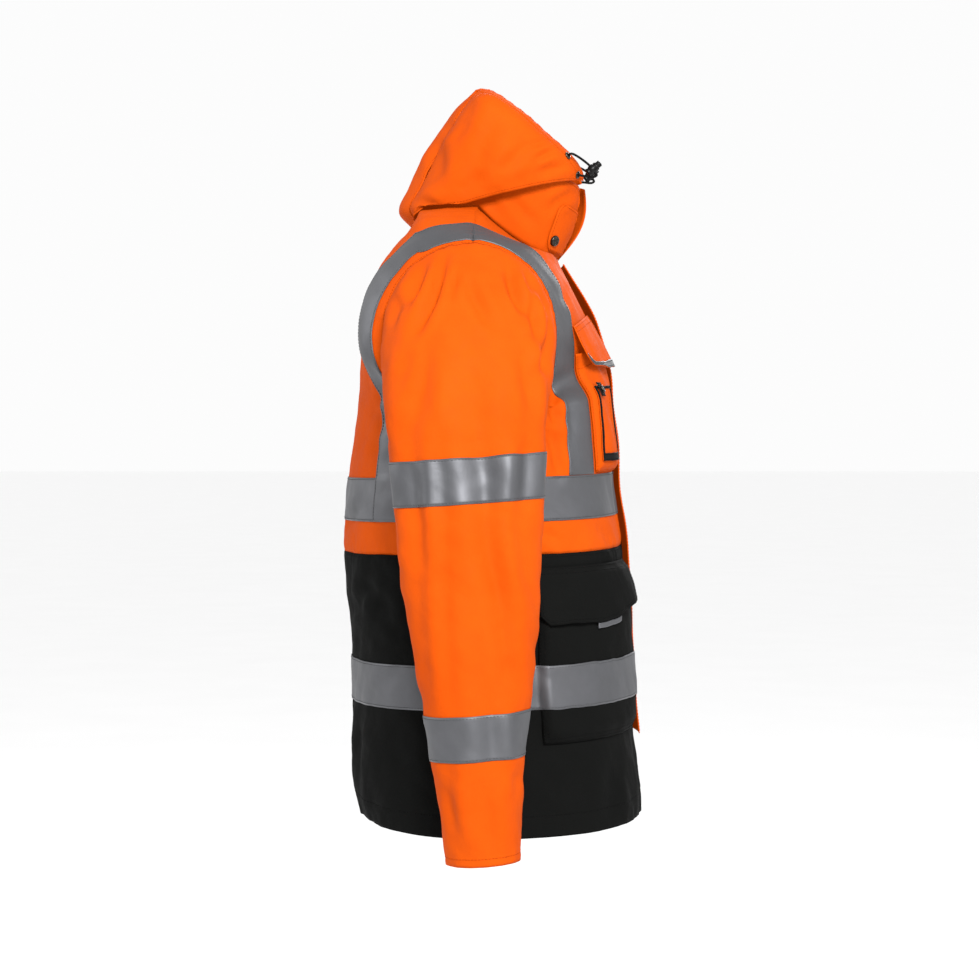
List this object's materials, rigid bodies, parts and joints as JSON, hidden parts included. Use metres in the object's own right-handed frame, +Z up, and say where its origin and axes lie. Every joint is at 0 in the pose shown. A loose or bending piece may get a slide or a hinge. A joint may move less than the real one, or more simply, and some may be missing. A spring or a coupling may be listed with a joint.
{
  "type": "hooded work jacket",
  "caption": "Hooded high-visibility work jacket, orange over black with grey reflective bands, flap pockets, stand collar and open cuffs, in its hollow worn form.",
  "frame": {"origin": "between the shoulders, under the neck opening, where the wearer's neck and shoulders carry the jacket", "axes": "+Z up, the front with the zip faces -Y, the wearer's right side is at -X"},
  "size_m": [0.6978, 0.355, 0.8799],
  "materials": {
    "orange": "matt fluorescent woven shell cloth",
    "black": "matt black woven shell cloth",
    "tape": "grey reflective tape, semi matt",
    "binding": "black binding and webbing",
    "zip_tape": "black zip strip",
    "cord": "black elastic cord",
    "lock": "black moulded plastic",
    "snap_metal": "dark oxidised metal"
  },
  "bodies": {
    "root": {"back_lower": "black", "back_upper": "orange", "brace_back_left": "tape", "brace_back_right": "tape", "brace_front_left": "tape", "brace_front_right": "tape", "chest_flap": "orange", "chest_flap_strip": "tape", "chest_pocket": "orange", "collar": "orange", "collar_snap": "snap_metal", "collar_tab": "orange", "cord_lock_left": "lock", "cord_lock_right": "lock", "eyelet_lower_left": "snap_metal", "eyelet_lower_right": "snap_metal", "eyelet_upper_left": "snap_metal", "eyelet_upper_right": "snap_metal", "front_left_lower": "black", "front_left_upper": "orange", "front_right_lower": "black", "front_right_upper": "orange", "front_zip": "zip_tape", "holder": "orange", "holder_base": "binding", "holder_bind_far": "binding", "holder_bind_near": "binding", "holder_bind_top": "binding", "holder_snap": "snap_metal", "holder_tab": "binding", "hood_centre": "orange", "hood_cord_left": "cord", "hood_cord_right": "cord", "hood_side_left": "orange", "hood_side_right": "orange", "lower_flap_left": "black", "lower_flap_right": "black", "lower_pocket_left": "black", "lower_pocket_right": "black", "pocket_label": "tape", "sleeve_left": "orange", "sleeve_right": "orange", "storm_flap": "orange", "tape_chest_back": "tape", "tape_chest_front_left": "tape", "tape_chest_front_right": "tape", "tape_lower_back": "tape", "tape_lower_front_left": "tape", "tape_lower_front_right": "tape", "tape_sleeve_lower_left": "tape", "tape_sleeve_lower_right": "tape", "tape_sleeve_upper_left": "tape", "tape_sleeve_upper_right": "tape"}
  },
  "joints": []
}
